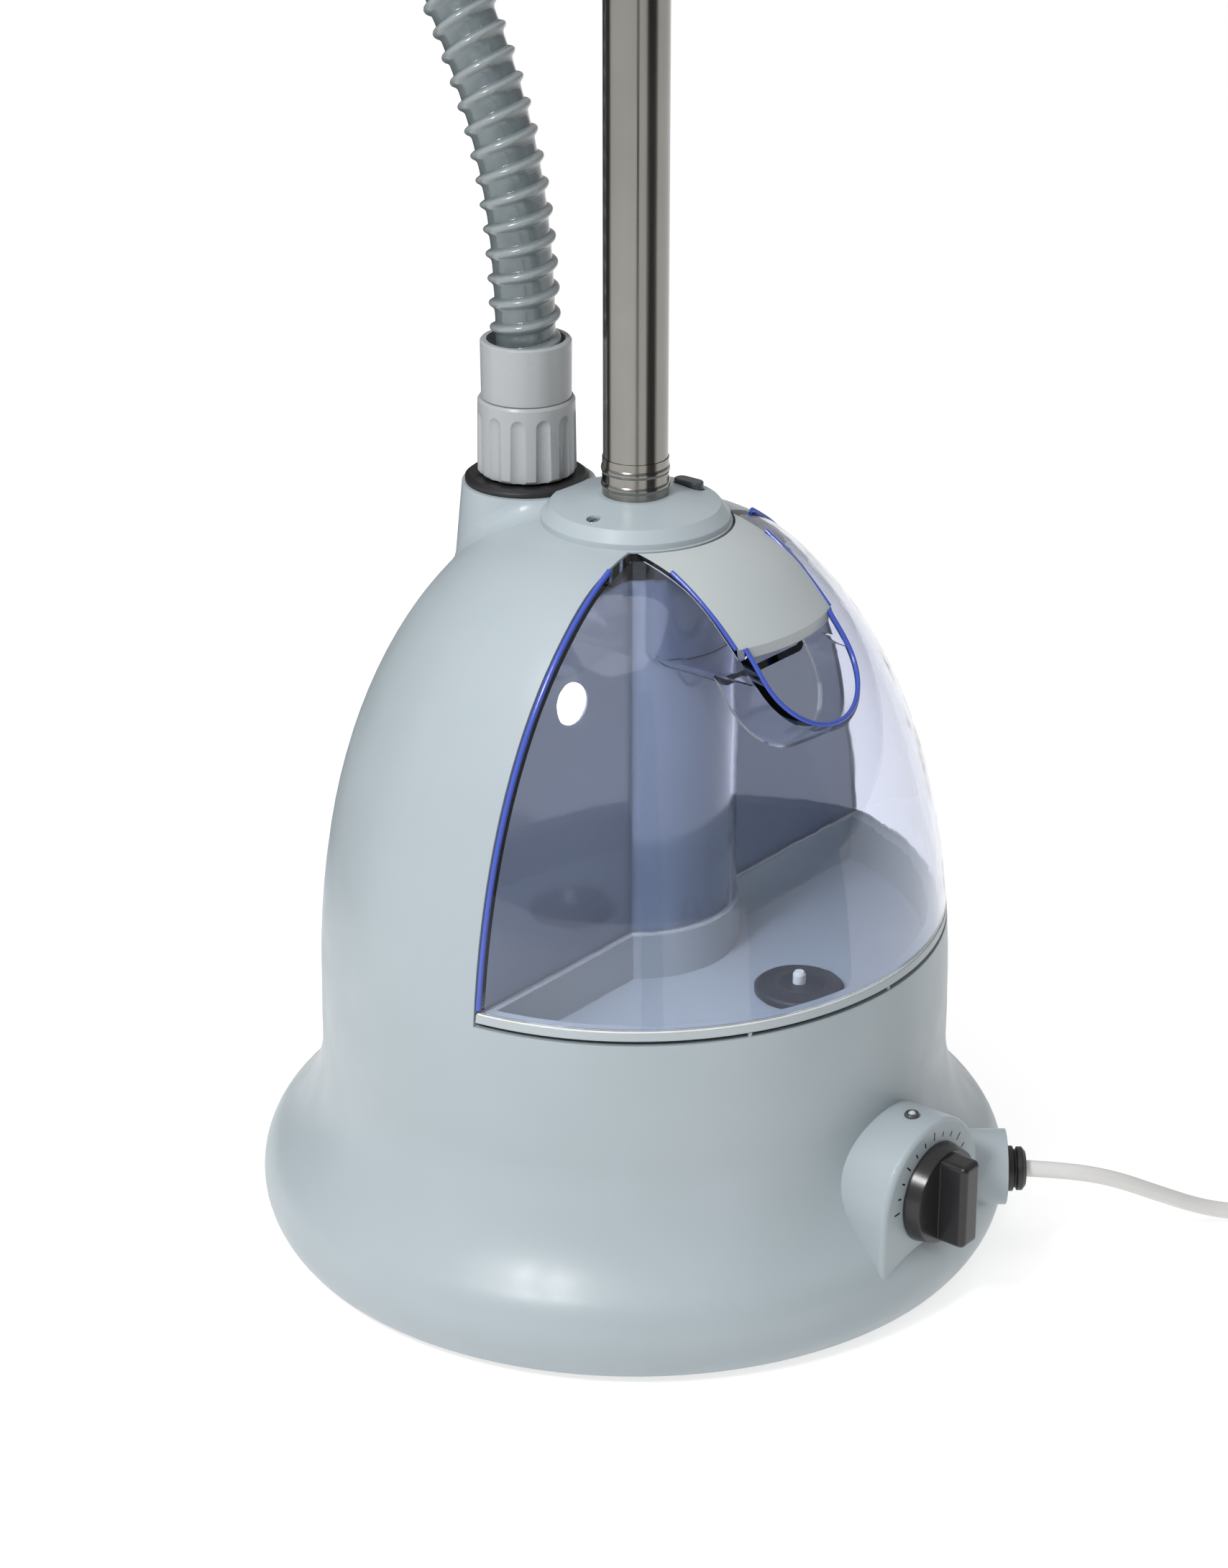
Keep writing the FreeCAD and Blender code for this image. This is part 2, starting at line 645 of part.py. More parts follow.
LEAD_ROUTE = ((175, -55, 43), (195, -54.5, 41.5), (216, -50, 35), (238, -42, 22.5), (260, -32, 9.5),
              (280, -27, 3.8), (303, -29, 3.8), (326, -41, 3.8))


def mains_lead():
    return route_tube("mains_lead", [out_back(*p) for p in LEAD_ROUTE], LEAD_R)


def lead_coil():
    centre = out_back(COIL_OUT, COIL_BACK, 0)
    outer, inner = COIL_TURN_RADII[-1] + LEAD_R, COIL_TURN_RADII[0] - LEAD_R
    return rounded(ring(outer, inner, 0, COIL_TALL, centre.x, centre.y), 3.0, lambda e: True)


TAIL_ROUTE = ((-25.5, 42.6, 11.3), (-38.1, 32, 11.5), (-45.9, 16.5, 13.2), (-46.9, -0.9, 17),
              (-41, -17.2, 21.5),
              (-29.1, -29.8, 25.5), (-13.2, PLUG_BACK, 27.8), (PLUG_OUT, PLUG_BACK, PLUG_Z))


def coil_point(out, back, z):
    """A point given from the coil's centre."""
    return out_back(COIL_OUT + out, COIL_BACK + back, z)


def lead_tail():
    return route_tube("lead_tail", [coil_point(*p) for p in TAIL_ROUTE], LEAD_R)


def on_plug(shape):
    """Moves a piece drawn along +X from the lead's end to where the plug lies on the coil."""
    placed = shape.copy()
    placed.rotate(V(0, 0, 0), UP, LEAD_HEADING)
    placed.translate(coil_point(PLUG_OUT, PLUG_BACK, PLUG_Z))
    return placed


def plug_body():
    grip = rounded(box(16, 46, -13, 13, -12.6, 11), 5.0, lambda e: e.BoundBox.XLength > 20)
    relief = Part.makeCone(LEAD_R + 1.2, 8.0, 18, V(0.05, 0, 0), V(1, 0, 0))
    face = rounded(box(43, 47, -13.6, 13.6, -12.8, 12), 5.0, lambda e: e.BoundBox.XLength > 3)
    return on_plug(joined(grip, relief, face))


def plug_pins():
    blades = [box(45, 63, y - 0.8, y + 0.8, -1.2, 5.2) for y in (-6.35, 6.35)]
    earth = bar(2.4, (45, 0, -7.0), (66, 0, -7.0))
    return Part.makeCompound([on_plug(p) for p in blades + [earth]])


def control_knob():
    """Disc with a thumb bar across it."""
    front = POD_FACE_Y - KNOB_GAP
    disc = Part.makeCone(KNOB_R, KNOB_R - 1.5, KNOB_DISC, V(0, front, KNOB_AXIS_Z), V(0, -1, 0))
    grip = box(-6, 6, front - KNOB_DISC - KNOB_GRIP, front - 1, KNOB_AXIS_Z - 20, KNOB_AXIS_Z + 20)
    grip = rounded(grip, 2.6, lambda e: e.BoundBox.YMin < front - KNOB_DISC - KNOB_GRIP + 0.1)
    socket = bar(3.0, (0, front + 1, KNOB_AXIS_Z), (0, front - 14, KNOB_AXIS_Z))
    return joined(disc, grip).cut(socket)


def knob_shaft():
    return bar(2.98, (0, -145, KNOB_AXIS_Z), (0, POD_FACE_Y - 14.5, KNOB_AXIS_Z))


# ---- water tank ------------------------------------------------------------------------------

def tank_body(inset, foot):
    """The water space of the bay, moved inwards by inset, above the level foot."""
    return bell(inset).common(bay_space(TANK_GAP + inset)).common(box(-FAR, FAR, -FAR, 0, foot, FAR))


def pocket(grow=0.0):
    """Finger space under the handle: a box, and a scoop that opens through the tank's front."""
    half = POCKET_HALF + grow
    recess = box(-half, half, -FAR / 4, BAY_Y, POCKET_FLOOR - grow, FAR)
    recess = rounded(recess, 6.0 + grow, lambda e: abs(e.CenterOfMass.z - POCKET_FLOOR + grow) < 0.01
                     and e.BoundBox.YLength > 20)
    recess = recess.cut(rod(POCKET_BACK_R - 0.8 * grow, 0, 2 * FAR))
    scoop = arch(half - SCOOP_STEP, -200, SCOOP_STRAIGHT, -80, SCOOP_DEPTH)
    scoop.rotate(V(0, 0, 0), V(0, 1, 0), 180)
    scoop.rotate(V(0, 0, 0), V(1, 0, 0), -SCOOP_TILT)
    scoop.translate(V(0, HANDLE_FRONT, HANDLE_EDGE_Z))
    return joined(recess, scoop)


def handle_space(gap=0.0):
    """The curved panel over the pocket's roof, flush with the tank."""
    skin = bell(-gap).cut(bell(HANDLE_T + gap))
    front = rod(bell_radius(HANDLE_EDGE_Z) + gap, 250, 400)
    strip = box(-HANDLE_HALF - gap, HANDLE_HALF + gap, -FAR, 0, 280, 400)
    behind = bay_space(TANK_GAP - gap / 2)
    return skin.common(strip).common(front).common(behind)


def tank_shell():
    shell = tank_body(0, SHELL_FOOT).cut([pocket()])
    water = tank_body(TANK_WALL, SHELL_FOOT - 5).cut([pocket(TANK_WALL)])
    return shell.cut([water]).cut([handle_space(0.1)])


def tank_handle():
    return handle_space()


def tray_region(inset, z0, z1):
    """A straight-sided block inside the bay, clear of the housing's wall by inset."""
    block = rod(WALL_R - inset, z0, z1).common(bay_space(TANK_GAP + inset - TRAY_INSET + 1.5))
    return block.common(box(-FAR, FAR, -FAR, 0, z0, z1))


def tank_tray():
    rim = tank_body(0, TRAY_RIM_LOW).common(box(-FAR, FAR, -FAR, 0, TRAY_RIM_LOW, TRAY_RIM_TOP))
    well = tray_region(TRAY_INSET, TRAY_FLOOR - TRAY_T, TRAY_RIM_TOP)
    hollow = tray_region(TRAY_INSET + TRAY_T, TRAY_FLOOR, TRAY_RIM_TOP + 1)
    return joined(rim, well).cut([hollow, rod(14.0, 100, 140, 0, VALVE_Y)])


def tank_seal():
    slab_z = box(-FAR, FAR, -FAR, 0, TRAY_RIM_TOP, SHELL_FOOT)
    return tank_body(0.4, TRAY_RIM_TOP).cut([tank_body(TANK_WALL - 0.4, 140)]).common(slab_z)


def valve_cap():
    profile = [(2.85, 132.0), (11.0, 132.0), (11.0, 121.2), (6.0, 121.2), (6.0, 119.8), (13.8, 119.8),
               (13.8, 134.05), (19.5, 134.05), (19.5, 136.6), (18.4, 137.4), (11.5, 138.6), (9.0, 138.0),
               (2.85, 138.0)]
    return turned(profile, 0, VALVE_Y)


def valve_plunger():
    profile = [(0, 117.0), (4.0, 117.0), (4.0, 121.4), (8.4, 121.4), (8.4, 123.2), (2.8, 123.6), (2.8, 142.0),
               (2.0, 143.4), (0, 143.4)]
    return turned(profile, 0, VALVE_Y)


def valve_spring():
    return spring(0, VALVE_Y, 5.4, 0.5, 123.7, 131.9, 4)


# ---- pole clamp, upper pole and hanger -------------------------------------------------------

def clamp_collar():
    y, z = LEVER_PIVOT
    body = turned([(POLE_R + 0.02, 872), (CLAMP_R, 872), (CLAMP_R + 1, 875), (CLAMP_R, CLAMP_TOP - 2),
                   (CLAMP_R - 2, CLAMP_TOP), (UPPER_R + 0.06, CLAMP_TOP), (UPPER_R + 0.06, POLE_TOP + 0.1),
                   (POLE_R + 0.02, POLE_TOP + 0.1)])
    lugs = [box(min(s * 5.9, s * 10), max(s * 5.9, s * 10), y - 5, -14, z - 6, z + 6) for s in (-1, 1)]
    lugs = [rounded(p, 4.0, lambda e: e.BoundBox.XLength > 3 and e.CenterOfMass.y < y) for p in lugs]
    bores = [bar(2.02, (-20, y, z), (20, y, z)), rod(UPPER_R + 0.06, 860, 940),
             rod(POLE_R + 0.02, 860, POLE_TOP)]
    return joined(body, *lugs).cut(bores)


def clamp_pin():
    y, z = LEVER_PIVOT
    return joined(bar(2.0, (-11, y, z), (11, y, z)), bar(3.2, (-12.2, y, z), (-10.1, y, z)))


def clamp_lever():
    y, z = LEVER_PIVOT
    cam = bar(5.2, (-5.5, y, z), (5.5, y, z))
    blade = box(-5.5, 5.5, y - 5.2, y + 1.6, z - 30, z)
    pad = rounded(box(-8.5, 8.5, y - 5.2, y + 1.6, z - 52, z - 16), 3.0, lambda e: e.BoundBox.YLength > 6)
    return joined(cam, blade, pad).cut(bar(2.06, (-20, y, z), (20, y, z)))


def pole_upper():
    return ring(UPPER_R, UPPER_R - TUBE_WALL, UPPER_FOOT, UPPER_TOP)


def guide_bush():
    """Plastic plug that steadies the upper tube inside the lower one."""
    inner = POLE_R - TUBE_WALL - 0.08
    skirt = ring(inner, 7.0, UPPER_FOOT - 14, UPPER_FOOT)
    plug = ring(UPPER_R - TUBE_WALL - 0.02, 7.0, UPPER_FOOT - 2, UPPER_FOOT + 22)
    return joined(skirt, plug)


def hanger_hub():
    """Moulded head of the pole: clevis for each hanger arm, domed top and a fork for the steam head."""
    x, z = ARM_PIVOT
    core = turned([(0, HUB_LOW), (15.5, HUB_LOW), (16.5, HUB_LOW + 4), (16.5, HUB_TOP - 4), (12, HUB_TOP + 2),
                   (0, HUB_TOP + 4)])
    ears = box(-x - 9, x + 9, -9, 9, z - 13, z + 10)
    ears = rounded(ears, 6, lambda e: e.BoundBox.YLength > 17)
    neck = box(-12, 12, 10, 42, FORK_LOW, FORK_LOW + FORK_T)
    plate = joined(rod(22, FORK_LOW, FORK_LOW + FORK_T, 0, HEAD_Y - 2), neck)
    gusset = slab([(-3, FORK_LOW - 12), (3, FORK_LOW - 12), (3, FORK_LOW + 1), (-3, FORK_LOW + 1)], 12, 30)
    mouth = box(-NECK_R - 1, NECK_R + 1, HEAD_Y, 120, 1400, 1500)
    slot = joined(rod(NECK_R + 1, 1400, 1500, 0, HEAD_Y), mouth)
    trim = box(-40, 40, HEAD_Y + 10, 120, 1400, 1500)
    arm_slots = [box(low, high, -4.1, 4.1, z - 9.6, z + 40) for low, high in ((-60, -16.6), (16.6, 60))]
    pins = bar(2.52, (-x, -20, z), (-x, 20, z)).fuse(bar(2.52, (x, -20, z), (x, 20, z)))
    body = joined(core, ears, plate.cut([slot, trim]), gusset)
    return body.cut(arm_slots + [pins, rod(UPPER_R + 0.02, HUB_LOW - 1, UPPER_TOP)])


def hanger_pins():
    x, z = ARM_PIVOT
    return Part.makeCompound([bar(2.5, (s * x, -9.5, z), (s * x, 9.5, z)) for s in (-1, 1)])


def hanger_arm(side):
    """Folding arm with a raised tip that stops a hanger from sliding off."""
    x, z = ARM_PIVOT
    tip = ARM_REACH
    outline = [(x, z - 8), (x + 40, z - 8.8), (tip - 12, z - 4), (tip, z + 3), (tip + 1, z + 14),
               (tip - 5, z + 14), (tip - 9, z + 7), (tip - 22, z + 5), (x + 40, z + 6), (x, z + 8)]
    bar_shape = slab(outline, -3.7, 3.7)
    bar_shape = rounded(bar_shape, 1.4, lambda e: e.BoundBox.YLength < 0.1 and e.Length > 8)
    eye = bar(8.6, (x, -3.7, z), (x, 3.7, z))
    slots = [slab([(a, z - 3.4), (a + 22, z - 2.8), (a + 22, z + 2.8), (a, z + 3.2)], -5, 5)
             for a in (64, 96, 128)]
    arm = joined(bar_shape, eye).cut(slots + [bar(2.58, (x, -10, z), (x, 10, z))])
    return arm if side > 0 else arm.mirror(V(0, 0, 0), V(1, 0, 0))


# ---- steam head ------------------------------------------------------------------------------

def head_form(inset):
    """Outside of the steam head and its handle: a rounded spade on a round grip."""
    low, high = HEAD_LOW, HEAD_LOW + HEAD_TALL
    outline = [(-27, low), (27, low), (58, low + 46), (58, high - 18), (44, high), (-44, high),
               (-58, high - 18), (-58, low + 46)]
    spade = slab(outline, 39, 80)
    spade = rounded(spade, 9.0, lambda e: e.BoundBox.YLength > 30)
    spade = rounded(spade, 6.0, lambda e: e.BoundBox.YLength < 0.1 and e.CenterOfMass.y < 40)
    grip = rod(NECK_R, HOSE_TOP + 4, low + 1, 0, HEAD_Y)
    whole = joined(spade, grip)
    if not inset:
        return whole
    low_in, high_in = low + inset, high - inset
    half = [(27 - inset, low_in), (58 - inset, low + 46), (58 - inset, high - 18), (44 - inset, high_in)]
    hollow = slab(half + [(-x, z) for x, z in reversed(half)], 39 + inset, 81)
    return joined(hollow, rod(NECK_R - inset, HOSE_TOP, low_in + 1, 0, HEAD_Y))


def head_shell(front):
    shell = head_form(0).cut([head_form(2.4)])
    half = box(-FAR, FAR, HEAD_Y, FAR, 0, 3 * FAR) if front else box(-FAR, FAR, -FAR, HEAD_Y, 0, 3 * FAR)
    return shell.common(half)


def steam_plate():
    """Metal face of the head, with a ring of steam holes."""
    low, high = HEAD_LOW, HEAD_LOW + HEAD_TALL
    half = [(18, low + 7), (50, low + 48), (50, high - 20), (40, high - 8)]
    outline = half + [(-x, z) for x, z in reversed(half)]
    plate = slab(outline, 80.1, 83.5)
    plate = rounded(plate, 8.0, lambda e: e.BoundBox.YLength > 3)
    rim = slab([(x * 0.93, (z - low - 55) * 0.93 + low + 55) for x, z in outline], 76, 80.2)
    middle = low + 60
    spots = [(34 * math.cos(math.radians(a)), middle + 24 * math.sin(math.radians(a))) for a in all_round(10)]
    holes = [bar(1.9, (x, 70, z), (x, 90, z)) for x, z in spots]
    return joined(plate, rim).cut(holes)


def hose_cuff():
    """Sleeve on the end of the grip that the hose runs up into."""
    top = CUFF_LOW + 74
    bore = HOSE_R + 1.1
    profile = [(bore, CUFF_LOW), (20.5, CUFF_LOW), (21.5, CUFF_LOW + 4), (17.0, top - 2), (15.5, top),
               (NECK_R + 0.02, top), (NECK_R + 0.02, HOSE_TOP + 4), (bore, HOSE_TOP + 1)]
    return turned(profile, 0, HEAD_Y)


# ---- write every node ------------------------------------------------------------------------

NODES = {
    "base_plate": base_plate, "rubber_feet": rubber_feet, "base_screws": base_screws,
    "housing_shell": housing_shell, "tank_bay_liner": tank_bay_liner, "pole_socket": pole_socket,
    "cap_screw": cap_screw, "pole_lower": pole_lower, "pole_collar": pole_collar,
    "release_button": release_button, "release_spring": release_spring, "steam_gasket": steam_gasket,
    "steam_spigot": steam_spigot, "coupling_nut": coupling_nut, "hose_collar": hose_collar,
    "steam_hose": steam_hose, "boiler_body": boiler_body, "boiler_lid": boiler_lid,
    "boiler_screws": boiler_screws, "heating_element": heating_element, "thermostat": thermostat,
    "steam_pipe": steam_pipe, "water_pipe": water_pipe, "valve_seat": valve_seat, "seat_seal": seat_seal,
    "rotary_switch": rotary_switch, "pilot_bezel": pilot_bezel, "pilot_lens": pilot_lens,
    "cord_grommet": cord_grommet, "inner_lead": inner_lead, "cord_clamp": cord_clamp,
    "terminal_block": terminal_block, "mains_lead": mains_lead, "lead_coil": lead_coil,
    "lead_tail": lead_tail, "plug_body": plug_body, "plug_pins": plug_pins, "control_knob": control_knob,
    "knob_shaft": knob_shaft, "tank_shell": tank_shell, "tank_handle": tank_handle, "tank_tray": tank_tray,
    "tank_seal": tank_seal, "valve_cap": valve_cap, "valve_plunger": valve_plunger,
    "valve_spring": valve_spring, "clamp_collar": clamp_collar, "clamp_pin": clamp_pin,
    "clamp_lever": clamp_lever, "pole_upper": pole_upper, "guide_bush": guide_bush,
    "hanger_hub": hanger_hub, "hanger_pins": hanger_pins,
    "hanger_arm_left": lambda: hanger_arm(-1), "hanger_arm_right": lambda: hanger_arm(1),
    "head_back_shell": lambda: head_shell(False), "head_front_shell": lambda: head_shell(True),
    "steam_plate": steam_plate, "hose_cuff": hose_cuff,
}

os.makedirs("parts", exist_ok=True)
for node, make in NODES.items():
    shape = make()
    solids = len(shape.Solids)
    good = shape.isValid() and solids > 0
    extent = shape.BoundBox
    print(f"{node}: {solids} solid, {'valid' if good else 'INVALID'}, {shape.Volume / 1000:.1f} cm3, "
          f"x {extent.XMin:.1f} {extent.XMax:.1f} y {extent.YMin:.1f} {extent.YMax:.1f} "
          f"z {extent.ZMin:.1f} {extent.ZMax:.1f}")
    shape.exportStep(f"parts/{node}.step")
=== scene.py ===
"""The looks of the garment steamer: finishes for every moulded, turned and drawn piece, the ribbed hose,
the mains lead, and a plain studio to stand it in. Metres, origin on the floor under the pole, +Z up."""

import bpy
import json
import math
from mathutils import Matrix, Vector


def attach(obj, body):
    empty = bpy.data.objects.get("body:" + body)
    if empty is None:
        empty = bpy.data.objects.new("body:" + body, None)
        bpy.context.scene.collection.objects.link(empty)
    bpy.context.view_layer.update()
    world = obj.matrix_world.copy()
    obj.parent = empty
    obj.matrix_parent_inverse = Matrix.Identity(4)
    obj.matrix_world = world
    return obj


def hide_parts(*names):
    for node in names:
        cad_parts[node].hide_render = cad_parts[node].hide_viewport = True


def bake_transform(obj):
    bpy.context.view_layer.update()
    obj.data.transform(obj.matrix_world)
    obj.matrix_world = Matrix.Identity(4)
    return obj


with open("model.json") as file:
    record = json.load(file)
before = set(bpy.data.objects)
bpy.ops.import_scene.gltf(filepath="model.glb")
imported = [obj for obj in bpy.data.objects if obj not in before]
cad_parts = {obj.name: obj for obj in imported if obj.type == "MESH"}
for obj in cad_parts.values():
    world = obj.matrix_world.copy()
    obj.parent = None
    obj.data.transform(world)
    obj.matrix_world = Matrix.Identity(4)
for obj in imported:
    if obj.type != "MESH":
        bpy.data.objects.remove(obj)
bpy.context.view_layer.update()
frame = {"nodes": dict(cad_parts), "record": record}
nodes = frame["nodes"]

MM = 0.001
GARMENT_HOSE_CORE = 13.0 * MM
GARMENT_HOSE_LIP = 15.5 * MM
HOSE_RIB_PITCH = 11.0 * MM
LEAD_RADIUS = 3.75 * MM
LEAD_HEADING = math.radians(-51)
COIL_OUT, COIL_BACK = 0.343, 0.005
COIL_OUTER = 0.049
COIL_START = math.radians(249.7)
COIL_TURNS = 5.667
POINTS_PER_TURN = 16


# ---- finishes --------------------------------------------------------------------------------

def linear(code):
    """An sRGB colour in hex, as linear red, green, blue and alpha."""
    parts = [int(code[k:k + 2], 16) / 255 for k in (0, 2, 4)]
    return [c / 12.92 if c <= 0.04045 else ((c + 0.055) / 1.055) ** 2.4 for c in parts] + [1.0]


def add(tree, kind, inputs, **settings):
    """Adds a node, with its settings and what goes into its sockets: a value, or another node's output."""
    node = tree.nodes.new("ShaderNode" + kind)
    for name, value in settings.items():
        setattr(node, name, value)
    for socket, value in inputs.items():
        if isinstance(value, bpy.types.NodeSocket):
            tree.links.new(value, node.inputs[socket])
        else:
            node.inputs[socket].default_value = value
    return node


def new_finish(name):
    """An empty material: its node tree and its shader."""
    finish = bpy.data.materials.new(name)
    finish.use_nodes = True
    tree = finish.node_tree
    return finish, tree, tree.nodes["Principled BSDF"]


def repeats(size_mm):
    """The texture scale that makes a pattern this many millimetres across."""
    return 1000.0 / size_mm


def two_tone(tree, place, first, second, size_mm):
    """A colour that drifts between two shades in clouds of this size."""
    clouds = add(tree, "TexNoise", {"Vector": place, "Scale": repeats(size_mm), "Detail": 3.0})
    share = add(tree, "MapRange", {0: clouds.outputs[0], 1: 0.25, 2: 0.75})
    both = {0: share.outputs[0], 6: linear(first), 7: linear(second)}
    return add(tree, "Mix", both, data_type="RGBA").outputs[2]


def uneven(tree, place, low, high, size_mm):
    """A roughness that varies between two values over this size."""
    patches = add(tree, "TexNoise", {"Vector": place, "Scale": repeats(size_mm), "Detail": 2.0})
    return add(tree, "MapRange", {0: patches.outputs[0], 1: 0.3, 2: 0.7, 3: low, 4: high}).outputs[0]


def moulded(name, first, second, roughness, grain_mm=0.9, relief_mm=0.012, edge_mm=0.5, ior=1.49):
    """Injection-moulded plastic: flow clouds in the colour, the mould's etched grain, softened arrises."""
    finish, tree, shader = new_finish(name)
    place = add(tree, "TexCoord", {}).outputs["Object"]
    grain = add(tree, "TexNoise", {"Vector": place, "Scale": repeats(grain_mm), "Detail": 2.0})
    arris = add(tree, "Bevel", {"Radius": edge_mm * MM}, samples=4)
    skin = add(tree, "Bump", {"Height": grain.outputs[0], "Distance": relief_mm * MM * 4, "Strength": 0.35,
                              "Normal": arris.outputs[0]})
    tree.links.new(two_tone(tree, place, first, second, 70), shader.inputs["Base Color"])
    tree.links.new(uneven(tree, place, roughness - 0.05, roughness + 0.05, 24), shader.inputs["Roughness"])
    tree.links.new(skin.outputs[0], shader.inputs["Normal"])
    shader.inputs["IOR"].default_value = ior
    return finish


def polished_tube(name, colour, shade, roughness):
    """Drawn and plated steel: long faint drawing lines along the tube, and slight clouding in the plate."""
    finish, tree, shader = new_finish(name)
    place = add(tree, "TexCoord", {}).outputs["Object"]
    along = add(tree, "Mapping", {0: place, 3: (1.0, 1.0, 0.015)})
    lines = add(tree, "TexNoise", {"Vector": along.outputs[0], "Scale": repeats(0.9), "Detail": 3.0})
    drawn = add(tree, "Bump", {"Height": lines.outputs[0], "Distance": 0.00004, "Strength": 0.25})
    tree.links.new(two_tone(tree, place, colour, shade, 45), shader.inputs["Base Color"])
    dull = uneven(tree, along.outputs[0], roughness * 0.7, roughness * 1.4, 3)
    tree.links.new(dull, shader.inputs["Roughness"])
    tree.links.new(drawn.outputs[0], shader.inputs["Normal"])
    shader.inputs["Metallic"].default_value = 1.0
    return finish


def metal(name, colour, shade, roughness, grain_mm, relief_mm, edge_mm=0.3):
    """Cast, zinc-plated or pressed metal: granular surface, darker and duller in patches."""
    finish, tree, shader = new_finish(name)
    place = add(tree, "TexCoord", {}).outputs["Object"]
    grain = add(tree, "TexNoise", {"Vector": place, "Scale": repeats(grain_mm), "Detail": 4.0})
    arris = add(tree, "Bevel", {"Radius": edge_mm * MM}, samples=4)
    skin = add(tree, "Bump", {"Height": grain.outputs[0], "Distance": relief_mm * MM, "Strength": 0.6,
                              "Normal": arris.outputs[0]})
    tree.links.new(two_tone(tree, place, colour, shade, 12), shader.inputs["Base Color"])
    tree.links.new(uneven(tree, place, roughness - 0.07, roughness + 0.1, 5), shader.inputs["Roughness"])
    tree.links.new(skin.outputs[0], shader.inputs["Normal"])
    shader.inputs["Metallic"].default_value = 1.0
    return finish


def tinted_tank():
    """Clear blue-tinted SAN, moulded 2.6 mm thick: almost colourless face on, deep blue where the eye looks
    along a wall or into an edge, because the tint is in the thickness and not on the surface."""
    finish, tree, shader = new_finish("tank_clear_blue_san")
    place = add(tree, "TexCoord", {}).outputs["Object"]
    sink = add(tree, "TexNoise", {"Vector": place, "Scale": repeats(38), "Detail": 1.0})
    wave = add(tree, "Bump", {"Height": sink.outputs[0], "Distance": 0.0006, "Strength": 0.25})
    tree.links.new(uneven(tree, place, 0.015, 0.05, 30), shader.inputs["Roughness"])
    tree.links.new(wave.outputs[0], shader.inputs["Normal"])
    shader.inputs["Base Color"].default_value = linear("F4F6FF")
    shader.inputs["IOR"].default_value = 1.45
    shader.inputs["Transmission Weight"].default_value = 1.0
    # light reaches what stands in the tank: the clear wall casts only a faint blue shadow
    shadow = add(tree, "LightPath", {}).outputs["Is Shadow Ray"]
    passing = add(tree, "BsdfTransparent", {"Color": linear("D4D9E0")})
    wall = add(tree, "MixShader", {0: shadow, 1: shader.outputs[0], 2: passing.outputs[0]})
    tree.links.new(wall.outputs[0], tree.nodes["Material Output"].inputs["Surface"])
    tint = add(tree, "VolumeAbsorption", {"Color": linear("5F80B8"), "Density": 16.0})
    tree.links.new(tint.outputs[0], tree.nodes["Material Output"].inputs["Volume"])
    return finish


def milky_silicone():
    """Extruded silicone: milky, soft, light passes a little way in, with faint extrusion rings."""
    finish, tree, shader = new_finish("milky_silicone")
    place = add(tree, "TexCoord", {}).outputs["Object"]
    along = add(tree, "Mapping", {0: place, 3: (0.1, 0.1, 1.0)})
    rings = add(tree, "TexNoise", {"Vector": along.outputs[0], "Scale": repeats(2.5), "Detail": 2.0})
    skin = add(tree, "Bump", {"Height": rings.outputs[0], "Distance": 0.0001, "Strength": 0.3})
    tree.links.new(two_tone(tree, place, "DADCD6", "E8E8E2", 15), shader.inputs["Base Color"])
    tree.links.new(uneven(tree, place, 0.3, 0.45, 8), shader.inputs["Roughness"])
    tree.links.new(skin.outputs[0], shader.inputs["Normal"])
    shader.inputs["IOR"].default_value = 1.41
    shader.inputs["Subsurface Weight"].default_value = 0.35
    shader.inputs["Subsurface Radius"].default_value = (0.004, 0.004, 0.0035)
    return finish


def frosted_lens():
    """Polycarbonate light pipe: pale, glossy, lit from inside when the element heats."""
    finish, tree, shader = new_finish("frosted_lamp_lens")
    place = add(tree, "TexCoord", {}).outputs["Object"]
    frost = add(tree, "TexNoise", {"Vector": place, "Scale": repeats(0.6), "Detail": 1.0})
    skin = add(tree, "Bump", {"Height": frost.outputs[0], "Distance": 0.00003, "Strength": 0.4})
    tree.links.new(two_tone(tree, place, "C9CFCE", "E6E9E6", 2), shader.inputs["Base Color"])
    tree.links.new(skin.outputs[0], shader.inputs["Normal"])
    shader.inputs["Roughness"].default_value = 0.16
    shader.inputs["Transmission Weight"].default_value = 0.35
    shader.inputs["IOR"].default_value = 1.58
    return finish


def hose_skin():
    """Spiral-wound hose in glossy grey-green PVC, with a faint crazing of fine creases. Painted shade
    darkens the colour where the wall dips between turns, and a painted highlight makes the lip of each rib
    pale and shiny."""
    finish, tree, shader = new_finish("spiral_pvc_hose")
    place = add(tree, "TexCoord", {}).outputs["Object"]
    lip = add(tree, "Attribute", {}, attribute_name="rib_height")
    wall = two_tone(tree, place, "545D61", "636D70", 9)
    # painted shade and highlight: by rib height, the colour darkens in the dips between turns and pales on
    # each lip
    shade = add(tree, "MapRange", {0: lip.outputs["Fac"], 1: 0.0, 2: 1.0, 3: 0.0, 4: 0.85})
    colour = add(tree, "Mix", {0: shade.outputs[0], 6: wall, 7: linear("848B8D")}, data_type="RGBA")
    crease = add(tree, "TexNoise", {"Vector": place, "Scale": repeats(2.2), "Detail": 3.0})
    skin = add(tree, "Bump", {"Height": crease.outputs[0], "Distance": 0.0005, "Strength": 0.35})
    tree.links.new(colour.outputs[2], shader.inputs["Base Color"])
    tree.links.new(uneven(tree, place, 0.16, 0.34, 6), shader.inputs["Roughness"])
    tree.links.new(skin.outputs[0], shader.inputs["Normal"])
    shader.inputs["IOR"].default_value = 1.53
    shader.inputs["Coat Weight"].default_value = 0.5
    shader.inputs["Coat Roughness"].default_value = 0.08
    return finish


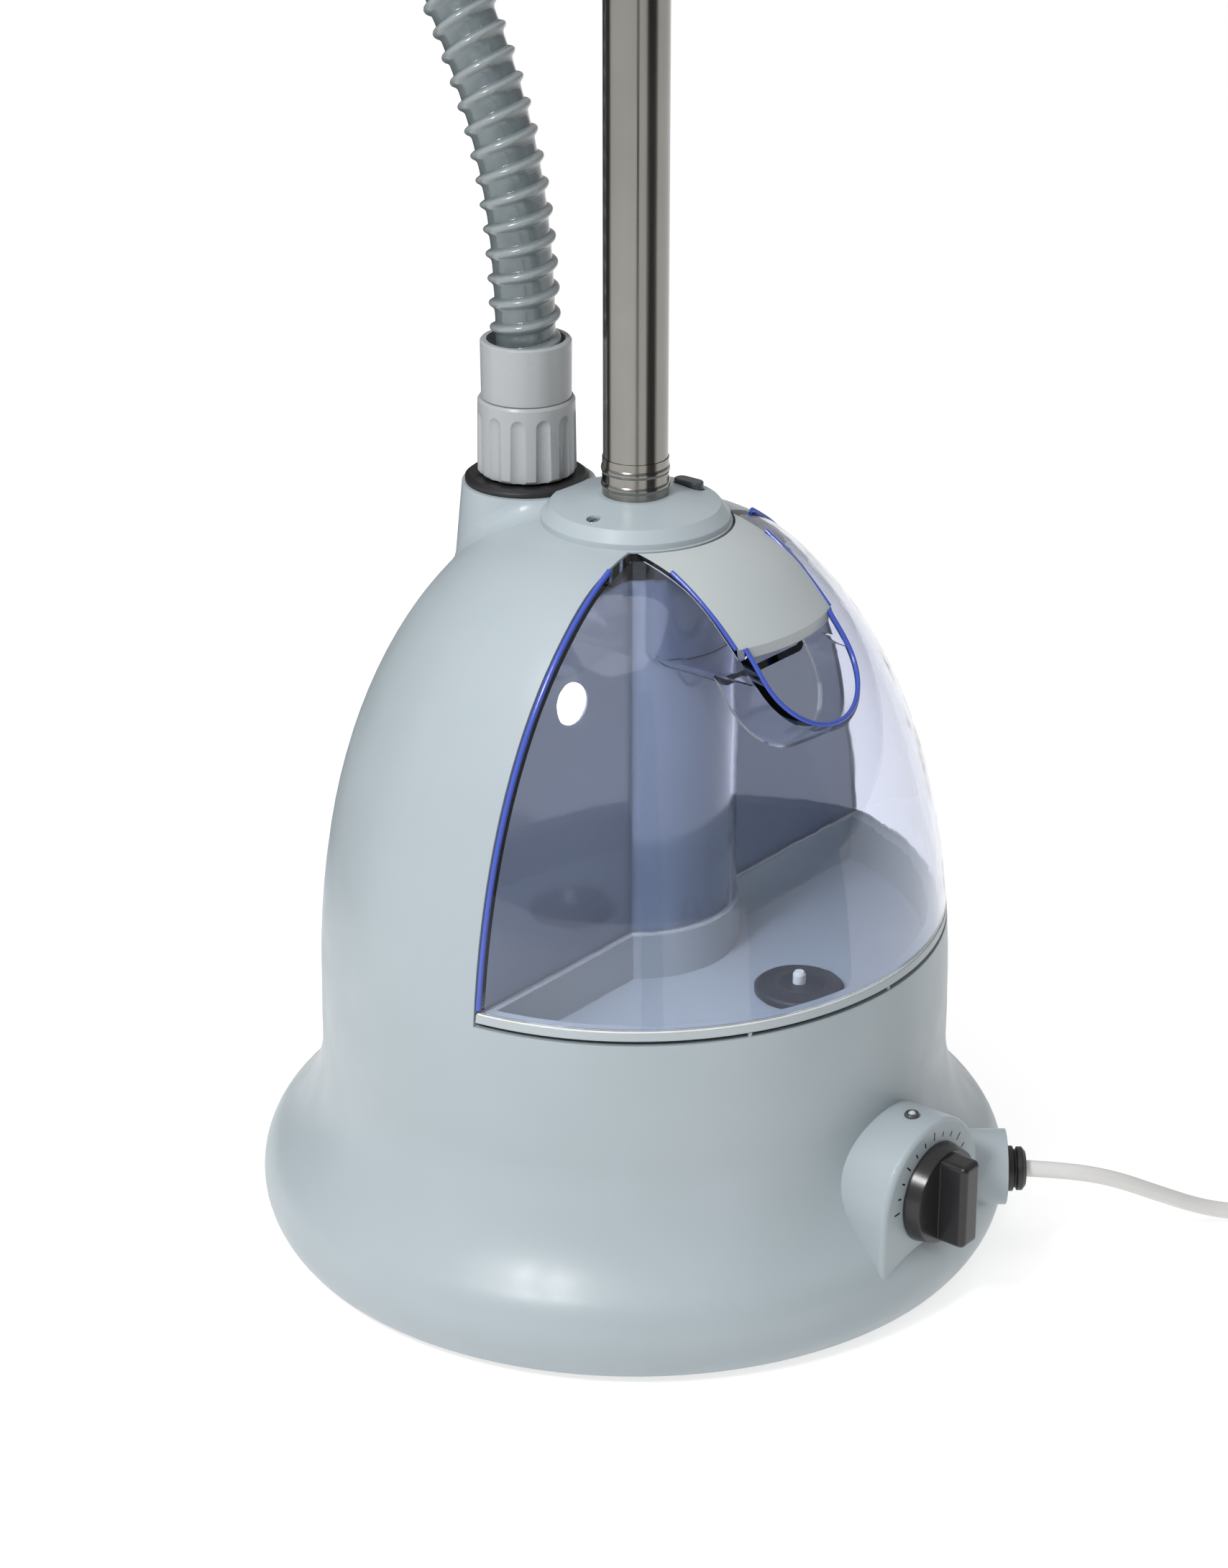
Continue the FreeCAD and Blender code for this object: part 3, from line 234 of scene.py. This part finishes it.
def brushed_plate():
    """Stainless steel sole plate: brushed across, so it catches light in long thin streaks."""
    finish, tree, shader = new_finish("brushed_stainless_steel")
    place = add(tree, "TexCoord", {}).outputs["Object"]
    across = add(tree, "Mapping", {0: place, 3: (0.02, 1.0, 1.0)})
    strokes = add(tree, "TexNoise", {"Vector": across.outputs[0], "Scale": repeats(0.7), "Detail": 4.0})
    arris = add(tree, "Bevel", {"Radius": 0.5 * MM}, samples=4)
    skin = add(tree, "Bump", {"Height": strokes.outputs[0], "Distance": 0.00006, "Strength": 0.4,
                              "Normal": arris.outputs[0]})
    tree.links.new(two_tone(tree, place, "C9CBCC", "B7B9BB", 30), shader.inputs["Base Color"])
    tree.links.new(uneven(tree, across.outputs[0], 0.24, 0.4, 4), shader.inputs["Roughness"])
    tree.links.new(skin.outputs[0], shader.inputs["Normal"])
    shader.inputs["Metallic"].default_value = 1.0
    return finish


FINISHES = {
    # satin ABS of the bell and the pole's mouldings: cool pale grey-blue with a soft broad sheen
    "housing": moulded("satin_abs_grey_blue", "98A3A8", "9DA7AD", 0.36),
    # the tank bay's liner: the same ABS, a little darker and plainer
    "housing_inner": moulded("liner_abs_grey", "A2AEB6", "A9B5BC", 0.42),
    # black-grey polypropylene for what stays inside or underneath: dull and slightly waxy
    "housing_dark": moulded("inner_polypropylene_slate", "4A4E52", "565B5F", 0.5, grain_mm=1.4,
                            relief_mm=0.03),
    # EPDM seals, feet and gland: near black with a dull soft highlight
    "rubber": moulded("epdm_rubber_black", "1A1A1C", "232325", 0.44, grain_mm=0.6, relief_mm=0.02,
                      edge_mm=0.9, ior=1.52),
    # zinc-plated screws, springs and pins: pale, slightly mottled metal
    "steel": metal("zinc_plated_steel", "B9BBBD", "A3A6A8", 0.3, 0.5, 0.02),
    # nickel-plated pole: warm grey, almost a mirror, with faint drawing lines
    "nickel": polished_tube("nickel_plated_tube", "92908B", "898782", 0.19),
    # small dark ABS trims: the lamp's ring and the release button
    "button": moulded("abs_trim_charcoal", "3C4144", "44494C", 0.34),
    # neutral grey polypropylene of the hose coupling: glossier than the bell
    "coupling": moulded("coupling_polypropylene_grey", "989B9D", "9C9FA1", 0.3, grain_mm=1.2,
                        relief_mm=0.006),
    "hose": hose_skin(),
    # die-cast boiler: grainy aluminium
    "casting": metal("die_cast_aluminium", "A8AAAC", "8F9193", 0.5, 1.2, 0.12, 0.8),
    "silicone": milky_silicone(),
    # phenolic switch body: dark brown, dense and hard
    "phenolic": moulded("phenolic_brown", "3A2A22", "46342A", 0.38, grain_mm=0.7, relief_mm=0.02, ior=1.62),
    "lens": frosted_lens(),
    # PVC sheath of the mains lead: light warm grey, softly shiny
    "lead": moulded("pvc_sheath_light_grey", "CAC9C7", "D4D3D1", 0.34, grain_mm=1.6, relief_mm=0.02,
                    edge_mm=0.8, ior=1.53),
    # nickel-plated brass blades
    "brass_pins": metal("nickel_plated_brass", "CFCBBF", "BDB8AA", 0.22, 0.4, 0.01, 0.4),
    # charcoal ABS of the control knob and the clamp lever: satin, edges catch a thin pale line
    "knob": moulded("satin_abs_charcoal", "1C1B1D", "232224", 0.22, grain_mm=0.7, relief_mm=0.014,
                    edge_mm=0.9),
    "tank": tinted_tank(),
    # the tank's wall seen edge on: the tint gathers over its whole depth, so it reads solid blue
    "tank_edge": moulded("tank_edge_deep_blue", "3448A0", "3E53AC", 0.16, relief_mm=0.004, ior=1.57),
    # the tank's handle panel: neutral light grey ABS
    "handle": moulded("handle_abs_grey", "A4ABAD", "ABB1B3", 0.38),
    # the tank's foot tray: pale grey ABS
    "tray": moulded("tray_abs_grey", "9EA6AB", "A5ADB1", 0.36),
    # the filler cap: dark slate ABS
    "valve_dark": moulded("cap_abs_slate", "2F3136", "3A3D42", 0.4),
    "plate": brushed_plate(),
}

slots = {part["node"]: part["material_slot"] for part in frame["record"]["subparts"]}
for node, obj in nodes.items():
    obj.data.materials.clear()
    obj.data.materials.append(FINISHES[slots[node]])


# ---- routes ----------------------------------------------------------------------------------

def out_back(out, back, z):
    """A point from its distance along the lead's heading, its distance to the left of that, and height."""
    c, s = math.cos(LEAD_HEADING), math.sin(LEAD_HEADING)
    return Vector((out * c - back * s, out * s + back * c, z))


def soft_line(name, points, radius=0.0):
    """A smooth curve with these control points."""
    line = bpy.data.curves.new(name, "CURVE")
    line.dimensions = "3D"
    line.resolution_u = 8
    spline = line.splines.new("NURBS")
    spline.points.add(len(points) - 1)
    for spot, point in zip(spline.points, points):
        spot.co = (*point, 1.0)
    spline.order_u = 3
    spline.use_endpoint_u = True
    line.bevel_depth = radius
    line.bevel_resolution = 5
    line.use_fill_caps = radius > 0
    obj = bpy.data.objects.new(name, line)
    bpy.context.scene.collection.objects.link(obj)
    return obj


def ease(value):
    value = min(1.0, max(0.0, value))
    return value * value * (3 - 2 * value)


# turns at which the lead steps in and out by its own thickness, and climbs onto its lower layer
STEPS_IN = (0.5, 1.5)
STEPS_OUT = (3.17, 4.17)
STEP_TURNS = 0.5
CLIMB, CLIMB_TURNS = 2.37, 0.3


def coil_point(turns):
    """Where the lead lies in its coil after so many turns: inwards on the floor, then out on top."""
    inwards = sum(ease((turns - start) / STEP_TURNS) for start in STEPS_IN)
    outwards = sum(ease((turns - start) / STEP_TURNS) for start in STEPS_OUT)
    radius = COIL_OUTER - 2 * LEAD_RADIUS * (inwards - outwards)
    z = LEAD_RADIUS + 2 * LEAD_RADIUS * ease((turns - CLIMB) / CLIMB_TURNS)
    radius /= math.cos(math.pi / POINTS_PER_TURN)
    angle = COIL_START + 2 * math.pi * turns
    return out_back(COIL_OUT + radius * math.cos(angle), COIL_BACK + radius * math.sin(angle), z)


HOSE_ROUTE = ((0.061, 0.394), (0.061, 0.434), (0.071, 0.488), (0.096, 0.544), (0.133, 0.602), (0.175, 0.664),
              (0.211, 0.732), (0.233, 0.806), (0.239, 0.884), (0.226, 0.960), (0.198, 1.032), (0.160, 1.098),
              (0.120, 1.158), (0.088, 1.210), (0.068, 1.258), (0.060, 1.304), (0.060, 1.364))
LEAD_ROUTE = ((0.175, -0.055, 0.043), (0.195, -0.0545, 0.0415), (0.216, -0.050, 0.035),
              (0.238, -0.042, 0.0225), (0.260, -0.032, 0.0095), (0.280, -0.027, 0.0038),
              (0.303, -0.029, 0.0038), (0.326, -0.041, 0.0038))
TAIL_ROUTE = ((-0.0255, 0.0426, 0.0113), (-0.0381, 0.032, 0.0115), (-0.0459, 0.0165, 0.0132),
              (-0.0469, -0.0009, 0.017), (-0.041, -0.0172, 0.0215), (-0.0291, -0.0298, 0.0255),
              (-0.0132, -0.0366, 0.0278), (0.0038, -0.0366, 0.028))

# the mains lead: down to the floor, round its coil and up onto it, to the plug
lead_points = [out_back(*p) for p in LEAD_ROUTE]
coil_steps = int(COIL_TURNS * POINTS_PER_TURN)
lead_points += [coil_point(k / POINTS_PER_TURN) for k in range(1, coil_steps)]
lead_points += [out_back(COIL_OUT + out, COIL_BACK + back, z) for out, back, z in TAIL_ROUTE]
mains_lead = soft_line("mains_lead_sheath", lead_points, LEAD_RADIUS)
mains_lead.data.materials.append(FINISHES["lead"])
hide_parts("mains_lead", "lead_coil", "lead_tail")
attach(mains_lead, "root")


# ---- the ribbed hose -------------------------------------------------------------------------

def line_points(obj):
    """The points that a bare curve passes through, in order."""
    mesh = bpy.data.meshes.new_from_object(obj.evaluated_get(bpy.context.evaluated_depsgraph_get()))
    points = [v.co.copy() for v in mesh.vertices]
    bpy.data.meshes.remove(mesh)
    return points


# one turn of the wound wall: (share of the pitch, share of the rib's height)
RIB_PROFILE = ((0.0, 0.0), (0.15, 0.0), (0.32, 0.02), (0.48, 0.08), (0.57, 0.33), (0.65, 0.78), (0.72, 0.97),
               (0.79, 1.0), (0.86, 0.84), (0.91, 0.5), (0.95, 0.15), (0.98, 0.0))
HOSE_SIDES = 40


def wound_hose(name, line, core, lip, pitch):
    """A spiral-ribbed tube along a line: its rows of points run with the rib, so the rib stays crisp."""
    reach = [0.0]
    for a, b in zip(line, line[1:]):
        reach.append(reach[-1] + (b - a).length)
    total = reach[-1]

    def frame_at(distance):
        k = min(max(0, sum(1 for r in reach[1:-1] if r <= distance)), len(line) - 2)
        share = (distance - reach[k]) / (reach[k + 1] - reach[k])
        before, after = line[max(0, k - 1)], line[min(len(line) - 1, k + 2)]
        ahead = (line[k + 1] - before).lerp(after - line[k], share).normalized()
        side = Vector((1, 0, 0))
        return line[k].lerp(line[k + 1], share), side, ahead.cross(side)

    turns = int(total / pitch) + 2
    rows = [((turn - 1 + share) * pitch, height)
            for turn in range(turns + 1) for share, height in RIB_PROFILE]
    per_turn = len(RIB_PROFILE)
    verts, heights = [], []
    for start, height in rows:
        for j in range(HOSE_SIDES):
            distance = min(total, max(0.0, start + pitch * j / HOSE_SIDES))
            centre, side, up = frame_at(distance)
            radius = core + (lip - core) * height
            angle = 2 * math.pi * j / HOSE_SIDES
            verts.append(centre + (side * math.cos(angle) + up * math.sin(angle)) * radius)
            heights.append(height)
    faces = []
    for i in range(len(rows) - 1):
        for j in range(HOSE_SIDES):
            low = i * HOSE_SIDES + j
            if j < HOSE_SIDES - 1:
                faces.append((low, low + 1, low + 1 + HOSE_SIDES, low + HOSE_SIDES))
            elif i + per_turn + 1 < len(rows):
                wrap = (i + per_turn) * HOSE_SIDES
                faces.append((low, wrap, wrap + HOSE_SIDES, low + HOSE_SIDES))
    mesh = bpy.data.meshes.new(name)
    mesh.from_pydata(verts, [], faces)
    # the rib's height, which the hose's finish uses to paint shade into the dips and a highlight onto the
    # lips
    mesh.attributes.new("rib_height", "FLOAT", "POINT").data.foreach_set("value", heights)
    mesh.shade_smooth()
    obj = bpy.data.objects.new(name, mesh)
    bpy.context.scene.collection.objects.link(obj)
    return obj


hose_line = soft_line("hose_line", [Vector((0, y, z)) for y, z in HOSE_ROUTE])
hose_path = line_points(hose_line)
bpy.data.objects.remove(hose_line)
steam_hose = wound_hose("steam_hose_ribbed", hose_path, GARMENT_HOSE_CORE, GARMENT_HOSE_LIP, HOSE_RIB_PITCH)
steam_hose.data.materials.append(FINISHES["hose"])
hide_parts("steam_hose")
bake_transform(steam_hose)


# ---- the release spring and the valve spring -------------------------------------------------

def coil_spring(node, x, y, radius, wire, low, high, turns):
    """A round-wire spring in place of the named one, from one height to another."""
    steps = POINTS_PER_TURN * turns
    rise = high - low - 2 * wire
    points = []
    for k in range(steps + 1):
        angle = 2 * math.pi * k / POINTS_PER_TURN
        around = (x + radius * math.cos(angle), y + radius * math.sin(angle))
        points.append(Vector((*around, low + wire + rise * k / steps)))
    line = soft_line(node + "_line", points, wire)
    mesh = bpy.data.meshes.new_from_object(line.evaluated_get(bpy.context.evaluated_depsgraph_get()))
    bpy.data.objects.remove(line)
    coil = bpy.data.objects.new(node + "_wire", mesh)
    bpy.context.scene.collection.objects.link(coil)
    mesh.materials.clear()
    mesh.materials.append(FINISHES["steel"])
    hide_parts(node)
    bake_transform(coil)


coil_spring("release_spring", 0.027, -0.008, 0.0029, 0.0004, 0.3152, 0.3299, 5)
coil_spring("valve_spring", 0.0, -0.092, 0.0054, 0.0005, 0.1237, 0.1319, 4)


# ---- the tank's edges ------------------------------------------------------------------------

SEAM_Y = -0.0257
SEAM_INSET, SEAM_RADIUS = 0.0008, 0.0013
RIM_INSET, RIM_RADIUS = 0.0006, 0.001
SCOOP_RIM_RADIUS = 0.0011
SEAM_LEVELS = (0.157, 0.175, 0.195, 0.215, 0.235, 0.255, 0.272, 0.287, 0.299, 0.309, 0.317, 0.323, 0.328)
HANDLE_SIDE = 0.033
SCOOP_FRONT, SCOOP_TOP = -0.086, 0.301
SCOOP_HALF, SCOOP_STRAIGHT, SCOOP_TILT = 0.0294, 0.013, 32.0
HANDLE_LEVELS = (0.3015, 0.307, 0.312, 0.317, 0.3215, 0.325, 0.328)


def bell_radius(z):
    """The bell's outside at this height, under its flat crown."""
    return 0.142 * math.sqrt(max(0.0, 1 - ((z - 0.100) / 0.245) ** 2.38))


def edge_line(name, points, radius):
    """A thin bead of deep tint along an edge of the tank."""
    edge = soft_line(name, points, radius)
    edge.data.materials.append(FINISHES["tank_edge"])
    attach(edge, "tank")


def scoop_edge(u, v):
    """Where the scoop's mouth, at (u, v) across its own opening, comes out through the bell."""
    tilt = math.radians(-SCOOP_TILT)
    near, far = -0.05, 0.03
    for _ in range(30):
        deep = (near + far) / 2
        y = SCOOP_FRONT + deep * math.cos(tilt) - v * math.sin(tilt)
        z = SCOOP_TOP + deep * math.sin(tilt) + v * math.cos(tilt)
        outside = math.hypot(u, y) > bell_radius(z)
        near, far = (deep, far) if outside else (near, deep)
    return Vector((u, y, z))


for side, label in ((-1, "left"), (1, "right")):
    seam = [Vector((side * (math.sqrt(bell_radius(z) ** 2 - SEAM_Y ** 2) - SEAM_INSET), SEAM_Y, z))
            for z in SEAM_LEVELS]
    edge_line("tank_seam_" + label, seam, SEAM_RADIUS)
    rims = [Vector((side * HANDLE_SIDE, -math.sqrt(bell_radius(z) ** 2 - HANDLE_SIDE ** 2), z - RIM_INSET))
            for z in HANDLE_LEVELS]
    edge_line("handle_rim_" + label, rims, RIM_RADIUS)

bends = [math.radians(a) for a in range(12, 169, 12)]
mouth = [(-SCOOP_HALF, 0.002), (-SCOOP_HALF, -0.006), (-SCOOP_HALF, -SCOOP_STRAIGHT)]
mouth += [(-SCOOP_HALF * math.cos(a), -SCOOP_STRAIGHT - SCOOP_HALF * math.sin(a)) for a in bends]
mouth += [(SCOOP_HALF, -SCOOP_STRAIGHT), (SCOOP_HALF, -0.006), (SCOOP_HALF, 0.002)]
edge_line("scoop_rim", [scoop_edge(u, v) for u, v in mouth], SCOOP_RIM_RADIUS)


# ---- marks on the control pod ----------------------------------------------------------------

KNOB_AXIS_Z = 0.060
POD_FACE_Y = -0.166
MARK_NEAR, MARK_FAR, LONG_MARK_FAR, MARK_WIDE = 0.0248, 0.0272, 0.0286, 0.0007

def flat_prisms(name, outlines, front, depth):
    """Thin raised shapes on a face that looks along -Y, from (x, z) outlines."""
    verts, faces = [], []
    for outline in outlines:
        base, count = len(verts), len(outline)
        verts += [(x, front, z) for x, z in outline] + [(x, front - depth, z) for x, z in outline]
        faces.append(tuple(base + count + k for k in range(count)))
        faces.append(tuple(base + k for k in reversed(range(count))))
        for k in range(count):
            n = (k + 1) % count
            faces.append((base + k, base + n, base + count + n, base + count + k))
    mesh = bpy.data.meshes.new(name)
    mesh.from_pydata(verts, [], faces)
    obj = bpy.data.objects.new(name, mesh)
    bpy.context.scene.collection.objects.link(obj)
    return obj


def dial_mark(angle, near, far, wide):
    """The corners of a bar that points away from the knob's axis."""
    a = math.radians(angle)
    along, across = Vector((math.cos(a), math.sin(a))), Vector((-math.sin(a), math.cos(a)))
    axis = Vector((0, KNOB_AXIS_Z))
    corners = ((near, -wide / 2), (far, -wide / 2), (far, wide / 2), (near, wide / 2))
    return [axis + along * r + across * w for r, w in corners]


marks = [dial_mark(angle, MARK_NEAR, MARK_FAR if angle % 45 else LONG_MARK_FAR, MARK_WIDE)
         for angle in range(15, 181, 15)]
marks.append([(0.0262, 0.0585), (0.0262, 0.0615), (0.0300, KNOB_AXIS_Z)])
dial_marks = flat_prisms("dial_marks", marks, POD_FACE_Y + 0.0001, 0.0002)
dial_marks.data.materials.append(FINISHES["knob"])
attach(dial_marks, "root")


# ---- studio ----------------------------------------------------------------------------------

def studio_floor():
    """A large white board lit from beneath as well as from above, so that shadows on it stay pale."""
    finish, tree, shader = new_finish("studio_white_paint")
    place = add(tree, "TexCoord", {}).outputs["Object"]
    tree.links.new(two_tone(tree, place, "A8A8A7", "ABABAA", 900), shader.inputs["Base Color"])
    shader.inputs["Roughness"].default_value = 0.7
    shader.inputs["Emission Color"].default_value = linear("FFFFFF")
    shader.inputs["Emission Strength"].default_value = 0.72
    mesh = bpy.data.meshes.new("studio_floor")
    half = 9.0
    corners = [(-half, -half, 0), (half, -half, 0), (half, half, 0), (-half, half, 0)]
    mesh.from_pydata(corners, [], [(0, 1, 2, 3)])
    floor = bpy.data.objects.new("studio_floor", mesh)
    floor.location.z = -0.0004
    mesh.materials.append(finish)
    bpy.context.scene.collection.objects.link(floor)


def softbox(name, place, target, wide, tall, power, mirrored=True):
    """An oval lamp aimed at a point; an unmirrored one doesn't show in polished surfaces."""
    light = bpy.data.lights.new(name, "AREA")
    light.shape = "ELLIPSE"
    light.size, light.size_y = wide, tall
    light.energy = power
    lamp = bpy.data.objects.new(name, light)
    lamp.location = place
    lamp.rotation_mode = "QUATERNION"
    lamp.rotation_quaternion = (Vector(target) - Vector(place)).to_track_quat("-Z", "Y")
    lamp.visible_glossy = mirrored
    bpy.context.scene.collection.objects.link(lamp)


def studio_walls():
    """White studio, brighter overhead than at eye level and brighter on one side."""
    world = bpy.data.worlds.new("studio_walls")
    world.use_nodes = True
    tree = world.node_tree
    place = add(tree, "TexCoord", {}).outputs["Generated"]
    height = add(tree, "SeparateXYZ", {0: place}).outputs[2]
    level = add(tree, "MapRange", {0: height, 1: -0.2, 2: 0.9, 3: 0.62, 4: 1.0})
    side = add(tree, "VectorMath", {0: place, 1: (-0.629, 0.777, 0.0)}, operation="DOT_PRODUCT")
    share = add(tree, "MapRange", {0: side.outputs["Value"], 1: -1.0, 2: 1.0, 3: 0.42, 4: 1.0})
    both = add(tree, "Math", {0: level.outputs[0], 1: share.outputs[0]}, operation="MULTIPLY")
    tree.links.new(both.outputs[0], tree.nodes["Background"].inputs[0])
    tree.nodes["Background"].inputs[1].default_value = 0.86
    bpy.context.scene.world = world


def black_card(name, bearing, wide, distance, tall):
    """A dark card on edge beside the object, seen only in polished surfaces."""
    finish, tree, shader = new_finish(name)
    place = add(tree, "TexCoord", {}).outputs["Object"]
    tree.links.new(two_tone(tree, place, "2A2A28", "343431", 200), shader.inputs["Base Color"])
    shader.inputs["Roughness"].default_value = 0.9
    a, half = math.radians(bearing), math.radians(wide / 2)
    low = [Vector((math.cos(a + s * half), math.sin(a + s * half), 0)) * distance for s in (-1, 1)]
    corners = low + [point + Vector((0, 0, tall)) for point in reversed(low)]
    mesh = bpy.data.meshes.new(name)
    mesh.from_pydata(corners, [], [(0, 1, 2, 3)])
    mesh.materials.append(finish)
    card = bpy.data.objects.new(name, mesh)
    card.visible_camera = card.visible_shadow = card.visible_diffuse = card.visible_transmission = False
    bpy.context.scene.collection.objects.link(card)


studio_floor()
studio_walls()
softbox("window_softbox", (-1.41, -0.09, 1.51), (-0.09, -0.04, 0.285), 0.4, 0.42, 22)
softbox("overhead_softbox", (-0.7, -0.2, 2.6), (0, 0, 0.2), 1.8, 1.8, 21, mirrored=False)
black_card("card_behind_left", 80, 78, 0.62, 0.9)
black_card("card_strip", -136, 7, 0.6, 0.9)
black_card("card_front_right", -86, 38, 0.62, 0.9)
bpy.context.scene.view_settings.view_transform = "Standard"

camera = bpy.data.objects.new("camera", bpy.data.cameras.new("camera"))
camera.location = (-1.1581, -0.9256, 0.855)
pitch = math.radians(-23.6)
looking = Vector((0.777 * math.cos(pitch), 0.629 * math.cos(pitch), math.sin(pitch)))
camera.rotation_mode = "QUATERNION"
camera.rotation_quaternion = looking.to_track_quat("-Z", "Y")
camera.data.lens = 83.57
bpy.context.scene.collection.objects.link(camera)
bpy.context.scene.camera = camera
